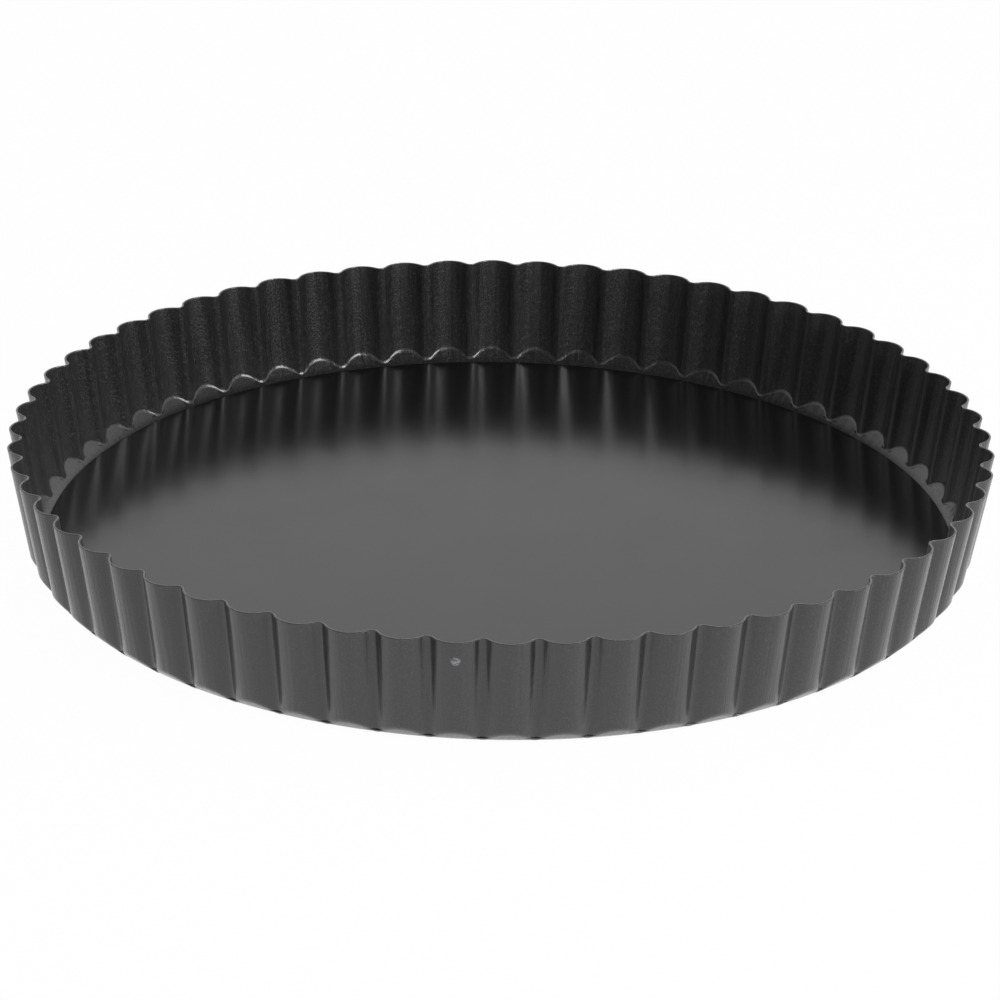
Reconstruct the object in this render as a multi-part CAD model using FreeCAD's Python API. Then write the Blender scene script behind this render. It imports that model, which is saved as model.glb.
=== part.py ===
import FreeCAD, Part

import math
import os

# Tart pan with a loose base, in millimetres. +Z is up, and the origin is the middle of the face
# that the pan rests on. It has two pieces: the fluted ring and the flat base that lies in it.

# Driving dimensions of the ring
rim_diameter = 300.0      # outside, across two opposite flutes, at the rim
pan_height = 35.0         # from the resting face to the rim
sheet = 0.6               # thickness of the pressed sheet
flute_count = 60
flute_depth = 3.6         # at the rim, from the crest of a flute to the bottom of a groove
flute_depth_low = 2.1     # the same at the foot, where the flutes get shallower
groove_radius = 1.8       # round of a groove, on the outside of the ring
wall_set_in = 6.1         # the leaning wall comes in by this much from the rim to the foot
foot_radius = 10.0        # round between the resting face and the wall, on the outside
foot_set_in = 6.0         # the flat ledge ends this far inside the grooves
ledge_width = 5.8         # of the flat ledge, from the round of the foot to the hole

# Driving dimensions of the base
base_thickness = 0.8
base_edge_round = 0.2     # round on both edges of the base
base_set_out = 3.6        # the base reaches this far past the flat ledge, onto the round of the foot
base_clearance = 0.02     # between the edge of the base and the round of the foot that carries it

# Sizes that follow
rim_radius = rim_diameter / 2
foot_wall_radius = rim_radius - wall_set_in
ledge_radius = foot_wall_radius - flute_depth_low - foot_set_in
hole_radius = ledge_radius - ledge_width
base_radius = ledge_radius + base_set_out
half_pitch = math.pi / flute_count
cut_past = 5.0            # how far a cutting solid runs past the face that it opens
axis_foot = FreeCAD.Vector(0, 0, 0)
axis_up = FreeCAD.Vector(0, 0, 1)


def polar(radius, angle, z):
    """A point at an angle around the pan's axis."""
    return FreeCAD.Vector(radius * math.cos(angle), radius * math.sin(angle), z)


def arc_about(centre, radius, start, end):
    """A level arc from its centre, its radius and the directions of its two ends."""
    angles = (start, (start + end) / 2, end)
    return Part.Arc(*[centre + polar(radius, angle, 0) for angle in angles]).toShape()


def closed_outline(edges):
    """The edges, and straight lines that close them through the pan's axis."""
    first = edges[0].Vertexes[0].Point
    last = edges[-1].Vertexes[-1].Point
    centre = FreeCAD.Vector(0, 0, first.z)
    return Part.Wire(edges + [Part.makeLine(last, centre), Part.makeLine(centre, first)])


def flute_outline(z, inset):
    """Level outline of the slice that holds one flute, from one groove's middle to the next.

    The flute and the grooves are arcs that touch without a corner. inset moves them into the
    sheet about the same centres, so the wall is equally thick all the way round.
    """
    crest = foot_wall_radius + wall_set_in * z / pan_height
    depth = flute_depth_low + (flute_depth - flute_depth_low) * z / pan_height
    groove_centre = crest - depth + groove_radius
    along = groove_centre * math.cos(half_pitch)
    across = groove_centre * math.sin(half_pitch)
    reach = crest + groove_radius
    flute_centre = (reach ** 2 - along ** 2 - across ** 2) / (2 * (reach - along))
    lean = math.atan2(across, along - flute_centre)
    groove = groove_radius + inset
    return closed_outline([
        arc_about(polar(groove_centre, -half_pitch, z), groove,
                  math.pi - half_pitch, math.pi - lean),
        arc_about(polar(flute_centre, 0, z), crest - flute_centre - inset, -lean, lean),
        arc_about(polar(groove_centre, half_pitch, z), groove,
                  math.pi + lean, math.pi + half_pitch),
    ])


def flute_slice(bottom, top, inset):
    """Solid slice inside the wall, one flute wide, between two heights."""
    outlines = [flute_outline(z, inset) for z in (bottom, top)]
    return Part.makeLoft(outlines, True, True)


def foot_corner(inset):
    """Ring-shaped solid that rounds the foot when it is cut away. Its seam faces away from +X."""
    radius = foot_radius - inset
    round_centre = FreeCAD.Vector(ledge_radius, 0, foot_radius)
    start = round_centre - FreeCAD.Vector(0, 0, radius)
    end = round_centre + FreeCAD.Vector(radius, 0, 0)
    diagonal = FreeCAD.Vector(1, 0, -1).normalize() * radius
    corners = [
        end,
        FreeCAD.Vector(rim_radius + cut_past, 0, foot_radius),
        FreeCAD.Vector(rim_radius + cut_past, 0, -cut_past),
        FreeCAD.Vector(ledge_radius, 0, -cut_past),
        start,
    ]
    edges = [Part.Arc(start, round_centre + diagonal, end).toShape()]
    edges += [Part.makeLine(one, other) for one, other in zip(corners, corners[1:])]
    turned = Part.Face(Part.Wire(edges)).revolve(axis_foot, axis_up, 360)
    return turned.rotated(axis_foot, axis_up, 180)


def ring_slice():
    """One flute of the ring: leaning wall, rounded foot and ledge."""
    outside = flute_slice(0, pan_height, 0).cut(foot_corner(0))
    inside = flute_slice(sheet, pan_height, sheet).cut(foot_corner(sheet))
    hole = Part.makeCylinder(hole_radius, pan_height, -axis_up * cut_past)
    return outside.cut(inside).cut(hole)


def is_cut_side(face):
    """True for the two flat faces where a slice meets its neighbours."""
    middle = face.CenterOfMass
    return abs(abs(math.atan2(middle.y, middle.x)) - half_pitch) < 1e-6


def fluted_ring():
    """The slice's skin, repeated round the axis and sewn into one closed solid."""
    skin = [face for face in ring_slice().Faces if not is_cut_side(face)]
    faces = []
    for number in range(flute_count):
        turn = number * 360 / flute_count
        faces += [face.rotated(axis_foot, axis_up, turn) for face in skin]
    shell = Part.makeShell(faces)
    shell.sewShape()
    return Part.makeSolid(shell).removeSplitter()


def base_underside():
    """Height at which the edge round of the base meets the round inside the foot."""
    reach = foot_radius - sheet - base_edge_round - base_clearance
    out = base_set_out - base_edge_round
    return foot_radius - base_edge_round - math.sqrt(reach ** 2 - out ** 2)


def loose_base():
    """Flat round plate whose edge lies on the round of the foot, just above the ledge."""
    plate = Part.makeCylinder(base_radius, base_thickness, axis_up * base_underside())
    rims = [edge for edge in plate.Edges if isinstance(edge.Curve, Part.Circle)]
    return plate.makeFillet(base_edge_round, rims)


os.makedirs("parts", exist_ok=True)
for name, shape in (("fluted_ring", fluted_ring()), ("loose_base", loose_base())):
    shape.exportStep("parts/" + name + ".step")
    print(name, "solids", len(shape.Solids), "valid", shape.isValid(), "mm3", round(shape.Volume))
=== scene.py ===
import math

import bmesh
import bpy
import numpy as np
from mathutils import Matrix, Vector


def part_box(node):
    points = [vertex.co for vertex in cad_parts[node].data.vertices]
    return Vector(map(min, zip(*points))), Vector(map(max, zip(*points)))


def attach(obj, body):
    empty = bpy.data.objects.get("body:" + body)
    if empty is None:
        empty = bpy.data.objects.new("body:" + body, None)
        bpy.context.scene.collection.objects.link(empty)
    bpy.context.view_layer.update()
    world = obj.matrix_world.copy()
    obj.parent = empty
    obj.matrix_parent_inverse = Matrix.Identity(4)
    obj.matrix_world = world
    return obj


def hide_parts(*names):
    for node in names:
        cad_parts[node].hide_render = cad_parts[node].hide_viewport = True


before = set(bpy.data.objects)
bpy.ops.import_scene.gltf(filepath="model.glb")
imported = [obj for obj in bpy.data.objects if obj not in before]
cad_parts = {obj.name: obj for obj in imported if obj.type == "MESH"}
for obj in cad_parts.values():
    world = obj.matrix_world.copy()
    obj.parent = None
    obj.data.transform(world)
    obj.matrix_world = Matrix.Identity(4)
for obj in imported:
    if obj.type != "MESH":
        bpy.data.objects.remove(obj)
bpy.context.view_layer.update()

# A fluted tart pan with a loose base. Every size is in metres, in the frame's own axes.

MM = 0.001
RING_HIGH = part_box("fluted_ring")[1]
BASE_LOW, BASE_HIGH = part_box("loose_base")

# The ring, one pressed sheet. "Low" sizes are where the wall's line would meet the floor.
SHEET = 0.6 * MM
HALF_SHEET = SHEET / 2
RIM_RADIUS = RING_HIGH.x
PAN_HEIGHT = RING_HIGH.z
FLUTE_COUNT = 60
HALF_PITCH = math.pi / FLUTE_COUNT
FLUTE_DEPTH = 3.8 * MM        # at the rim, from the crest of a flute to the bottom of a groove
FLUTE_DEPTH_LOW = 2.1 * MM
GROOVE_RADIUS = 1.8 * MM      # at the rim, round of a groove on the outside
GROOVE_RADIUS_LOW = 2.6 * MM
WALL_SET_IN = 6.1 * MM        # the wall leans in by this much from the rim to the floor
HOLE_RADIUS = 130.0 * MM
LEDGE_RADIUS = 136.0 * MM     # where the flat ledge ends and the round of the foot starts
FOOT_RADIUS = 9.0 * MM
FOOT_SLOPE = math.radians(45)    # the round turns this far, and a straight slope leads on
CREASE_RADIUS = 3.2 * MM      # the sheet's soft bend where the slope meets the wall

# The loose base
BASE_RADIUS = BASE_HIGH.x
BASE_EDGE_ROUND = 0.2 * MM
BASE_ROWS = (0.02, 0.25, 0.5, 0.75, 0.95, 0.995, 0.999, 1.0)    # shares of its flat radius

# How finely the pieces are meshed
STEPS_PER_FLUTE = 24
LEDGE_STEPS = 4
FOOT_STEPS = 8
SLOPE_STEPS = 3
CREASE_STEPS = 7
WALL_STEPS = 6
EDGE_STEPS = 6
EDGE_SQUARENESS = 0.25        # power on the edge's half round: 1 is round, 0 is square
BASE_STEPS = 360

# Coatings
COATING_BODY = (0.009, 0.009, 0.0095)
COATING_IOR = 1.55
COATING_TINT = (0.965, 0.965, 1.0)
FLECK_START = 0.5             # flecks start at this value of their noise
CLOUD_SIZE = 30 * MM
CLOUD_RANGE = (0.3, 0.7)      # values of the cloud noise between its darkest and lightest
CLOUD_DEPTH = 0.12            # the body is this share darker or lighter in the clouds
CLOUD_ROUGHNESS = 0.02        # and this much smoother or rougher
GRAIN_PER_FLECK = 1.3         # size of a grain against the size of a fleck
STREAK_WIDTH = 2.0 * MM
STREAK_SQUEEZE = 0.05         # width of a streak against its height
RIM_PAINTED_HIGHLIGHT_ABOVE = PAN_HEIGHT - 0.15 * MM    # painted highlight: above this height the rim's cut edge is painted paler
RIM_PAINTED_HIGHLIGHT_BLEND = 0.1 * MM
RIM_PAINTED_HIGHLIGHT_COLOUR = (0.04, 0.04, 0.041)
BLEMISH = (-0.0152, -0.1481, 0.029)    # middle of a pale speck in the coating, on the outside
BLEMISH_SIZE = 1.6 * MM
BLEMISH_GRAIN = 0.4           # size of its grains against its own
BLEMISH_RANGE = (0.42, 0.62)  # values of the grains' noise between faint and full
BLEMISH_FAINT = 0.12
BLEMISH_COLOUR = (0.32, 0.32, 0.33)
RING_COATING = dict(
    fleck=(0.038, 0.038, 0.039), fleck_size=0.5 * MM, fleck_share=0.25, roughness=0.34,
    fleck_roughness=0.6, grain_height=0.1 * MM, gloss=0.6, gloss_roughness=0.15,
    # the rim flag below paints a paler band on the rim's cut edge as a painted highlight
    streaks=4.5, painted_rim_highlight=True, blemish=True)
BASE_COATING = dict(
    fleck=(0.014, 0.014, 0.0145), fleck_size=0.8 * MM, fleck_share=0.3, roughness=0.19,
    fleck_roughness=0.17, grain_height=0.002 * MM)

# The room. Gloss mirrors its white walls, and darker parts of it in the directions given here.
ROOM_LIGHT = 0.6              # strength of the even light on matt surfaces
WALL_TOP = (0.5, 0.75)        # Z of a direction, from the white wall to the full ceiling
CEILING = 0.05
WALL_FRONT = (-0.6, 0.1)      # Y of a direction, from the dark wall behind the camera to white
WALL_FRONT_LIGHT = 0.14
WINDOW_EDGE = (0.12, 0.35)    # X of a direction, across the edge of a pale part of that wall
WINDOW_LIGHT = 0.7
FLOOR_SIZE = 8.0
FLOOR_COLOUR = 0.85
FLOOR_GLOW = 0.98             # share of plain white in what shows of the floor

# The lamp. It stands to the right of the camera, and its bearing is measured from there.
KEY_BEARING = 54
KEY_ELEVATION = 30
KEY_DISTANCE = 1.3
KEY_SIZE = 0.55
KEY_RADIANCE = 12.0

# Camera: how far it looks down, left and tilts, in degrees
CAMERA_LENS = 149.259
CAMERA_SENSOR = 36
CAMERA_PLACE = (-0.029632, -1.166976, 0.525628)
CAMERA_ANGLES = (23.741, -1.453, 1.018)


# ---------------------------------------------------------------- shape of the sheet

def crest_at(height):
    """Radius of the sheet's middle surface on the crest of a flute, at a height."""
    return RIM_RADIUS - HALF_SHEET - WALL_SET_IN * (1 - height / PAN_HEIGHT)


def wall_radius(angle, height):
    """Radius of the sheet's middle surface at an angle from a crest: round flute, round groove."""
    crest = crest_at(height)
    share = height / PAN_HEIGHT
    depth = FLUTE_DEPTH_LOW + (FLUTE_DEPTH - FLUTE_DEPTH_LOW) * share
    groove = GROOVE_RADIUS_LOW + (GROOVE_RADIUS - GROOVE_RADIUS_LOW) * share + HALF_SHEET
    groove_centre = crest - depth + groove
    along = groove_centre * math.cos(HALF_PITCH)
    across = groove_centre * math.sin(HALF_PITCH)
    reach = crest + groove
    flute_centre = (reach ** 2 - along ** 2 - across ** 2) / (2 * (reach - along))
    flute = crest - flute_centre
    lean = math.atan2(across, along - flute_centre)
    touch = math.atan2(flute * math.sin(lean), flute_centre + flute * math.cos(lean))
    if abs(angle) <= touch:
        return flute_centre * math.cos(angle) + math.sqrt(
            flute ** 2 - (flute_centre * math.sin(angle)) ** 2)
    beside = HALF_PITCH - abs(angle)
    return groove_centre * math.cos(beside) - math.sqrt(
        groove ** 2 - (groove_centre * math.sin(beside)) ** 2)


def arc_points(centre_r, centre_z, radius, start, end, steps):
    """Points on an arc in a section, from straight below its centre towards the outside."""
    turns = [start + (end - start) * step / steps for step in range(steps + 1)]
    return [(centre_r + radius * math.sin(turn), centre_z - radius * math.cos(turn))
            for turn in turns]


def section(angle):
    """Points (radius, height) up the middle of the sheet at an angle from a crest.

    From the edge of the hole: flat ledge, round foot, its slope, soft crease, leaning wall.
    """
    low = wall_radius(angle, 0.0)
    lean = (wall_radius(angle, PAN_HEIGHT) - low) / PAN_HEIGHT
    start = HOLE_RADIUS + HALF_SHEET
    points = [(start + (LEDGE_RADIUS - start) * step / LEDGE_STEPS, HALF_SHEET)
              for step in range(LEDGE_STEPS)]
    points += arc_points(LEDGE_RADIUS, FOOT_RADIUS, FOOT_RADIUS - HALF_SHEET, 0, FOOT_SLOPE,
                         FOOT_STEPS)
    foot_r, foot_z = points[-1]
    rise, run = math.sin(FOOT_SLOPE), math.cos(FOOT_SLOPE)
    length = (low + lean * foot_z - foot_r) / (run - lean * rise)
    upright = math.pi / 2 - math.atan(lean)
    length -= CREASE_RADIUS * math.tan((upright - FOOT_SLOPE) / 2)
    for step in range(1, SLOPE_STEPS):
        along = length * step / SLOPE_STEPS
        points.append((foot_r + run * along, foot_z + rise * along))
    crease_r = foot_r + run * length - CREASE_RADIUS * rise
    crease_z = foot_z + rise * length + CREASE_RADIUS * run
    points += arc_points(crease_r, crease_z, CREASE_RADIUS, FOOT_SLOPE, upright, CREASE_STEPS)
    wall_start = points[-1][1]
    wall_end = PAN_HEIGHT - HALF_SHEET
    for step in range(1, WALL_STEPS + 1):
        height = wall_start + (wall_end - wall_start) * step / WALL_STEPS
        points.append((low + lean * height, height))
    return points


def middle_surface():
    """Grid of points on the middle of the sheet: one row per section, in turn round the pan."""
    sections = []
    for number in range(FLUTE_COUNT * STEPS_PER_FLUTE):
        angle = 2 * HALF_PITCH * number / STEPS_PER_FLUTE
        from_crest = angle - 2 * HALF_PITCH * round(angle / (2 * HALF_PITCH))
        sections.append([(radius * math.cos(angle), radius * math.sin(angle), height)
                         for radius, height in section(from_crest)])
    return np.array(sections)


def unit(vectors):
    return vectors / np.linalg.norm(vectors, axis=-1, keepdims=True)


def squared(part):
    """One part of a point on a half round, pushed outwards so that the round gets squarer."""
    return math.copysign(abs(part) ** EDGE_SQUARENESS, part)


def cut_edge(middle, side, tip):
    """Rows of points round a cut edge, from the face that side points out of to the other."""
    turns = [math.pi * step / EDGE_STEPS for step in range(1, EDGE_STEPS)]
    return [middle + HALF_SHEET * (squared(math.cos(turn)) * side + squared(math.sin(turn)) * tip)
            for turn in turns]


def sheet_skin(middle):
    """Closed skin of the sheet: both faces, and a softened cut edge at the rim and at the hole."""
    around = np.roll(middle, -1, axis=0) - np.roll(middle, 1, axis=0)
    up = np.gradient(middle, axis=1)
    out = unit(np.cross(around, up))
    rim, hole = slice(-1, None), slice(0, 1)
    skin = [middle + out * HALF_SHEET]
    skin += cut_edge(middle[:, rim], out[:, rim], unit(up[:, rim]))
    skin.append(np.flip(middle - out * HALF_SHEET, axis=1))
    skin += cut_edge(middle[:, hole], -out[:, hole], -unit(up[:, hole]))
    return np.concatenate(skin, axis=1)


def grid_mesh(name, points):
    """A mesh from a grid of points that closes on itself both ways."""
    rows, columns = points.shape[:2]
    mesh = bpy.data.meshes.new(name)
    mesh.vertices.add(rows * columns)
    mesh.vertices.foreach_set("co", points.reshape(-1).astype(np.float32))
    row, column = np.meshgrid(np.arange(rows), np.arange(columns), indexing="ij")
    next_row = (row + 1) % rows
    next_column = (column + 1) % columns
    corners = np.stack([row * columns + column, next_row * columns + column,
                        next_row * columns + next_column, row * columns + next_column], axis=-1)
    faces = corners.reshape(-1, 4)
    mesh.loops.add(faces.size)
    mesh.loops.foreach_set("vertex_index", faces.reshape(-1).astype(np.int32))
    mesh.polygons.add(len(faces))
    mesh.polygons.foreach_set("loop_start", np.arange(0, faces.size, 4, dtype=np.int32))
    mesh.update(calc_edges=True)
    mesh.validate()
    mesh.shade_smooth()
    return add_object(name, mesh)


def add_object(name, data):
    obj = bpy.data.objects.new(name, data)
    bpy.context.scene.collection.objects.link(obj)
    return obj


# ---------------------------------------------------------------- pieces

def ring_piece():
    """The pressed ring: fluted wall, round foot and the ledge that carries the base."""
    return grid_mesh("fluted_ring_sheet", sheet_skin(middle_surface()))


def base_outline():
    """Half of the base plate's section, from the middle of its top to the middle underneath."""
    top, bottom = BASE_HIGH.z, BASE_LOW.z
    flat_end = BASE_RADIUS - BASE_EDGE_ROUND
    inner = [flat_end * share for share in BASE_ROWS]
    points = [(radius, top) for radius in inner]
    for step in range(1, EDGE_STEPS):
        turn = math.pi / 2 * step / EDGE_STEPS
        points.append((flat_end + BASE_EDGE_ROUND * math.sin(turn),
                       top - BASE_EDGE_ROUND * (1 - math.cos(turn))))
    points += [(BASE_RADIUS, top - BASE_EDGE_ROUND), (BASE_RADIUS, bottom + BASE_EDGE_ROUND)]
    for step in range(1, EDGE_STEPS):
        turn = math.pi / 2 * step / EDGE_STEPS
        points.append((flat_end + BASE_EDGE_ROUND * math.cos(turn),
                       bottom + BASE_EDGE_ROUND * (1 - math.sin(turn))))
    return points + [(radius, bottom) for radius in reversed(inner)]


def base_piece():
    """The loose base: a flat round plate with a finely rounded edge."""
    mesh = bpy.data.meshes.new("loose_base_plate")
    shape = bmesh.new()
    rows = []
    for radius, height in base_outline():
        rows.append([shape.verts.new((radius * math.cos(turn), radius * math.sin(turn), height))
                     for turn in (2 * math.pi * n / BASE_STEPS for n in range(BASE_STEPS))])
    for upper, lower in zip(rows, rows[1:]):
        for n in range(BASE_STEPS):
            after = (n + 1) % BASE_STEPS
            shape.faces.new((upper[n], lower[n], lower[after], upper[after]))
    shape.faces.new(rows[0])
    shape.faces.new(reversed(rows[-1]))
    shape.to_mesh(mesh)
    shape.free()
    mesh.shade_smooth()
    return add_object("loose_base_plate", mesh)


# ---------------------------------------------------------------- materials

def new_material(name):
    material = bpy.data.materials.new(name)
    material.use_nodes = True
    nodes = material.node_tree.nodes
    nodes.clear()
    return material, nodes, material.node_tree.links


def noise(nodes, links, place, scale, detail):
    node = nodes.new("ShaderNodeTexNoise")
    node.inputs["Scale"].default_value = scale
    node.inputs["Detail"].default_value = detail
    links.new(place, node.inputs["Vector"])
    return node.outputs["Fac"]


def remap(nodes, links, value, low, high, to_low, to_high):
    node = nodes.new("ShaderNodeMapRange")
    for socket, number in zip(("From Min", "From Max", "To Min", "To Max"),
                              (low, high, to_low, to_high)):
        node.inputs[socket].default_value = number
    links.new(value, node.inputs["Value"])
    return node.outputs["Result"]


def math_node(nodes, links, operation, first, second):
    node = nodes.new("ShaderNodeMath")
    node.operation = operation
    for socket, value in zip(node.inputs, (first, second)):
        if isinstance(value, (int, float)):
            socket.default_value = value
        else:
            links.new(value, socket)
    return node.outputs[0]


def mix_colour(nodes, links, share, first, second):
    node = nodes.new("ShaderNodeMix")
    node.data_type = "RGBA"
    links.new(share, node.inputs["Factor"])
    for name, value in (("A", first), ("B", second)):
        socket = [s for s in node.inputs if s.name == name and s.type == "RGBA"][0]
        if isinstance(value, tuple):
            socket.default_value = (*value, 1)
        else:
            links.new(value, socket)
    return [s for s in node.outputs if s.type == "RGBA"][0]


def vector_math(nodes, links, operation, first, second):
    node = nodes.new("ShaderNodeVectorMath")
    node.operation = operation
    for socket, value in zip(node.inputs, (first, second)):
        if isinstance(value, tuple):
            socket.default_value = value
        else:
            links.new(value, socket)
    return node.outputs["Vector"]


def drawn_streaks(nodes, links, place):
    """Height of the streaks that the press draws up the wall, each at its own angle."""
    level = vector_math(nodes, links, "MULTIPLY", place, (1, 1, 0))
    around = vector_math(nodes, links, "MULTIPLY",
                         vector_math(nodes, links, "NORMALIZE", level, (0, 0, 0)),
                         (RIM_RADIUS, RIM_RADIUS, 0))
    slowly_up = vector_math(nodes, links, "MULTIPLY", place, (0, 0, STREAK_SQUEEZE))
    return noise(nodes, links, vector_math(nodes, links, "ADD", around, slowly_up),
                 1 / STREAK_WIDTH, detail=3)


def with_painted_rim_highlight(nodes, links, place, colour):
    """The colour, and a paler band painted on the cut edge of the rim as a painted highlight."""
    split = nodes.new("ShaderNodeSeparateXYZ")
    links.new(place, split.inputs[0])
    highlight_share = remap(nodes, links, split.outputs["Z"], RIM_PAINTED_HIGHLIGHT_ABOVE - RIM_PAINTED_HIGHLIGHT_BLEND,
                 RIM_PAINTED_HIGHLIGHT_ABOVE, 0, 1)
    return mix_colour(nodes, links, highlight_share, colour, RIM_PAINTED_HIGHLIGHT_COLOUR)


def with_blemish(nodes, links, place, colour):
    """The colour, and a small pale blemish in it that is brighter in a few of its grains."""
    distance = nodes.new("ShaderNodeVectorMath")
    distance.operation = "DISTANCE"
    links.new(place, distance.inputs[0])
    distance.inputs[1].default_value = BLEMISH
    near = remap(nodes, links, distance.outputs["Value"], BLEMISH_SIZE / 2, BLEMISH_SIZE, 1, 0)
    grains = noise(nodes, links, place, 1 / (BLEMISH_GRAIN * BLEMISH_SIZE), detail=2)
    pale = remap(nodes, links, grains, *BLEMISH_RANGE, BLEMISH_FAINT, 1)
    return mix_colour(nodes, links, math_node(nodes, links, "MULTIPLY", near, pale), colour,
                      BLEMISH_COLOUR)


def coating(name, fleck, fleck_size, fleck_share, roughness, fleck_roughness, grain_height,
            gloss=0, gloss_roughness=0, streaks=0, painted_rim_highlight=False, blemish=False):
    """Baked-on coating: dark body, fine light flecks, soft cloudiness and a fine sandy grain.

    gloss is the weight of a smoother top coat. streaks is the height of the drawn streaks as
    a multiple of the grain's.
    """
    material, nodes, links = new_material(name)
    place = nodes.new("ShaderNodeTexCoord").outputs["Object"]
    shader = nodes.new("ShaderNodeBsdfPrincipled")
    output = nodes.new("ShaderNodeOutputMaterial")
    links.new(shader.outputs[0], output.inputs["Surface"])
    flecks = noise(nodes, links, place, 1 / fleck_size, detail=2)
    share = remap(nodes, links, flecks, FLECK_START, FLECK_START + fleck_share, 0, 1)
    cloud = noise(nodes, links, place, 1 / CLOUD_SIZE, detail=3)
    body = mix_colour(nodes, links, remap(nodes, links, cloud, *CLOUD_RANGE, 0, 1),
                      tuple(part * (1 - CLOUD_DEPTH) for part in COATING_BODY),
                      tuple(part * (1 + CLOUD_DEPTH) for part in COATING_BODY))
    colour = mix_colour(nodes, links, share, body, fleck)
    # paints a paler band on the rim's cut edge as a painted highlight
    if painted_rim_highlight:
        colour = with_painted_rim_highlight(nodes, links, place, colour)
    if blemish:
        colour = with_blemish(nodes, links, place, colour)
    links.new(colour, shader.inputs["Base Color"])
    spread = remap(nodes, links, cloud, *CLOUD_RANGE, roughness - CLOUD_ROUGHNESS,
                   roughness + CLOUD_ROUGHNESS)
    rougher = math_node(nodes, links, "MULTIPLY", share, fleck_roughness - roughness)
    links.new(math_node(nodes, links, "ADD", spread, rougher), shader.inputs["Roughness"])
    shader.inputs["IOR"].default_value = COATING_IOR
    shader.inputs["Specular Tint"].default_value = (*COATING_TINT, 1)
    shader.inputs["Coat Weight"].default_value = gloss
    shader.inputs["Coat Roughness"].default_value = gloss_roughness
    grain = nodes.new("ShaderNodeBump")
    grain.inputs["Distance"].default_value = grain_height
    height = noise(nodes, links, place, 1 / (fleck_size * GRAIN_PER_FLECK), detail=3)
    if streaks:
        drawn = drawn_streaks(nodes, links, place)
        height = math_node(nodes, links, "ADD", height,
                           math_node(nodes, links, "MULTIPLY", drawn, streaks))
    links.new(height, grain.inputs["Height"])
    links.new(grain.outputs["Normal"], shader.inputs["Normal"])
    return material


# ---------------------------------------------------------------- surroundings

def seen_directly(nodes, links):
    """1 for rays from the camera, off gloss or through glass, 0 for light on matt surfaces."""
    path = nodes.new("ShaderNodeLightPath")
    either = math_node(nodes, links, "MAXIMUM", path.outputs["Is Camera Ray"],
                       path.outputs["Is Glossy Ray"])
    return math_node(nodes, links, "MAXIMUM", either, path.outputs["Is Transmission Ray"])


def white_world():
    """White to the camera, darker in places to gloss, and an even light on matt surfaces."""
    world = bpy.data.worlds.new("white_room")
    bpy.context.scene.world = world
    world.use_nodes = True
    nodes, links = world.node_tree.nodes, world.node_tree.links
    nodes.clear()
    background = nodes.new("ShaderNodeBackground")
    background.inputs["Color"].default_value = (1, 1, 1, 1)
    path = nodes.new("ShaderNodeLightPath")
    split = nodes.new("ShaderNodeSeparateXYZ")
    links.new(nodes.new("ShaderNodeTexCoord").outputs["Generated"], split.inputs[0])
    wall = remap(nodes, links, split.outputs["Z"], *WALL_TOP, 1, CEILING)
    side = remap(nodes, links, split.outputs["Y"], *WALL_FRONT, WALL_FRONT_LIGHT, 1)
    window = remap(nodes, links, math_node(nodes, links, "ABSOLUTE", split.outputs["X"], 0),
                   *WINDOW_EDGE, WINDOW_LIGHT, 0)
    side = math_node(nodes, links, "MAXIMUM", side, window)
    wall = math_node(nodes, links, "MINIMUM", wall, side)
    clear = math_node(nodes, links, "MAXIMUM", path.outputs["Is Camera Ray"],
                      path.outputs["Is Transmission Ray"])
    glossy = math_node(nodes, links, "MULTIPLY", path.outputs["Is Glossy Ray"], wall)
    falling = math_node(nodes, links, "MULTIPLY", ROOM_LIGHT,
                        math_node(nodes, links, "SUBTRACT", 1, seen_directly(nodes, links)))
    strength = math_node(nodes, links, "ADD", clear,
                         math_node(nodes, links, "ADD", glossy, falling))
    links.new(strength, background.inputs["Strength"])
    output = nodes.new("ShaderNodeOutputWorld")
    links.new(background.outputs[0], output.inputs["Surface"])


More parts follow.
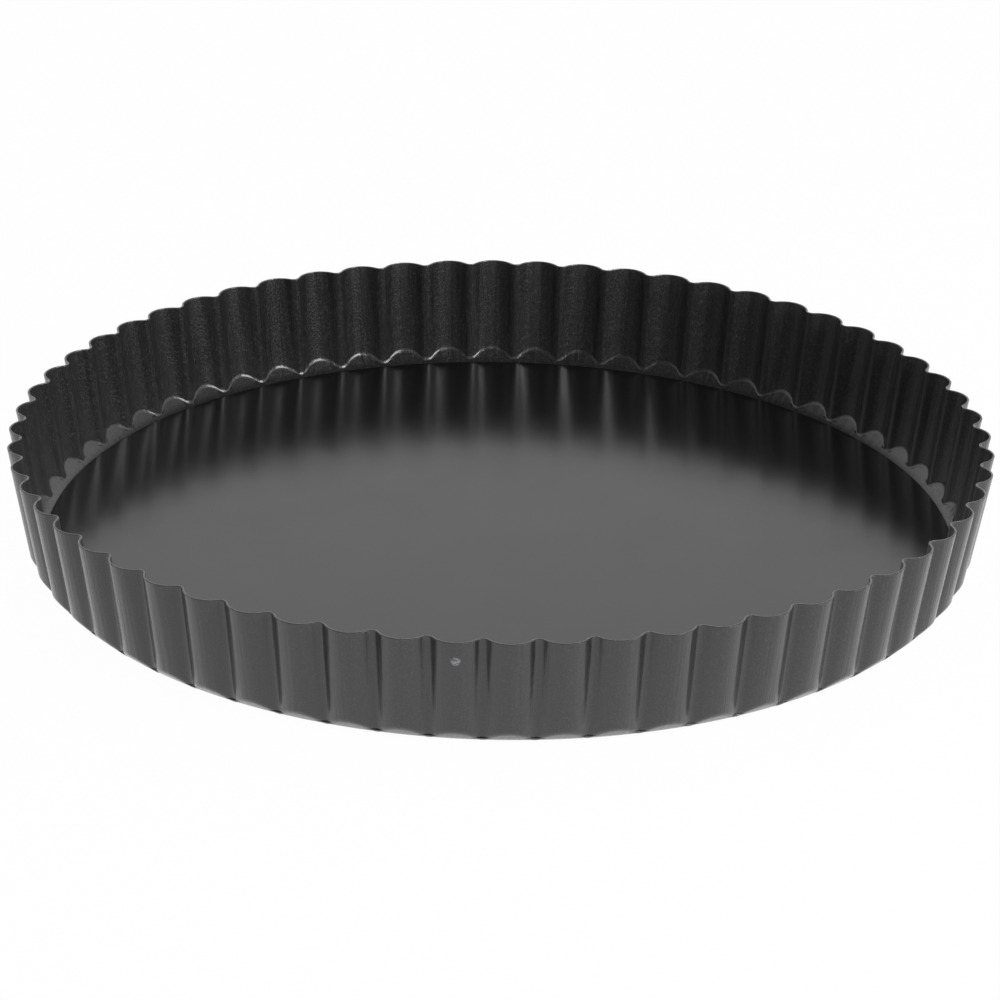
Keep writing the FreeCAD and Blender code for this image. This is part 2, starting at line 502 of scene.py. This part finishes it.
def pale_floor():
    """A matt pale floor under the pan, which the camera sees as white with a faint shadow."""
    bpy.ops.mesh.primitive_plane_add(size=FLOOR_SIZE)
    floor = bpy.context.object
    floor.name = "floor"
    material, nodes, links = new_material("pale_floor")
    paint = nodes.new("ShaderNodeBsdfDiffuse")
    paint.inputs["Color"].default_value = (FLOOR_COLOUR, FLOOR_COLOUR, FLOOR_COLOUR, 1)
    glow = nodes.new("ShaderNodeEmission")
    mix = nodes.new("ShaderNodeMixShader")
    links.new(math_node(nodes, links, "MULTIPLY", seen_directly(nodes, links), FLOOR_GLOW),
              mix.inputs["Fac"])
    links.new(paint.outputs[0], mix.inputs[1])
    links.new(glow.outputs[0], mix.inputs[2])
    output = nodes.new("ShaderNodeOutputMaterial")
    links.new(mix.outputs[0], output.inputs["Surface"])
    floor.data.materials.append(material)
    return floor


def key_softbox(lit):
    """A square lamp that faces the pan and lights only the objects given."""
    lamp = bpy.data.lights.new("key_softbox", "AREA")
    lamp.size = KEY_SIZE
    lamp.energy = KEY_RADIANCE * math.pi * KEY_SIZE ** 2
    turn, rise = math.radians(KEY_BEARING), math.radians(KEY_ELEVATION)
    away = Vector((math.sin(turn) * math.cos(rise), -math.cos(turn) * math.cos(rise),
                   math.sin(rise)))
    obj = add_object("key_softbox", lamp)
    obj.location = away * KEY_DISTANCE
    obj.rotation_mode = "QUATERNION"
    obj.rotation_quaternion = away.to_track_quat("Z", "Y")
    receivers = bpy.data.collections.new("key_softbox_lights")
    for target in lit:
        receivers.objects.link(target)
    obj.light_linking.receiver_collection = receivers


def photo_camera():
    """The camera at the photograph's viewing angle."""
    camera = bpy.data.cameras.new("camera")
    camera.lens = CAMERA_LENS
    camera.sensor_width = CAMERA_SENSOR
    obj = add_object("camera", camera)
    pitch, yaw, roll = (math.radians(angle) for angle in CAMERA_ANGLES)
    turn = (Matrix.Rotation(yaw, 4, "Z") @ Matrix.Rotation(math.pi / 2 - pitch, 4, "X")
            @ Matrix.Rotation(roll, 4, "Z"))
    obj.matrix_world = Matrix.Translation(CAMERA_PLACE) @ turn
    bpy.context.scene.camera = obj


# ---------------------------------------------------------------- the scene

bpy.context.scene.view_settings.view_transform = "Standard"

ring = ring_piece()
ring.data.materials.append(coating("ring_coating", **RING_COATING))
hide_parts("fluted_ring")
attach(ring, "ring")

base = base_piece()
base.data.materials.append(coating("base_coating", **BASE_COATING))
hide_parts("loose_base")
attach(base, "base")

floor = pale_floor()
white_world()
key_softbox((ring, floor))    # not the base: its flat top would mirror the lamp as a glare
photo_camera()
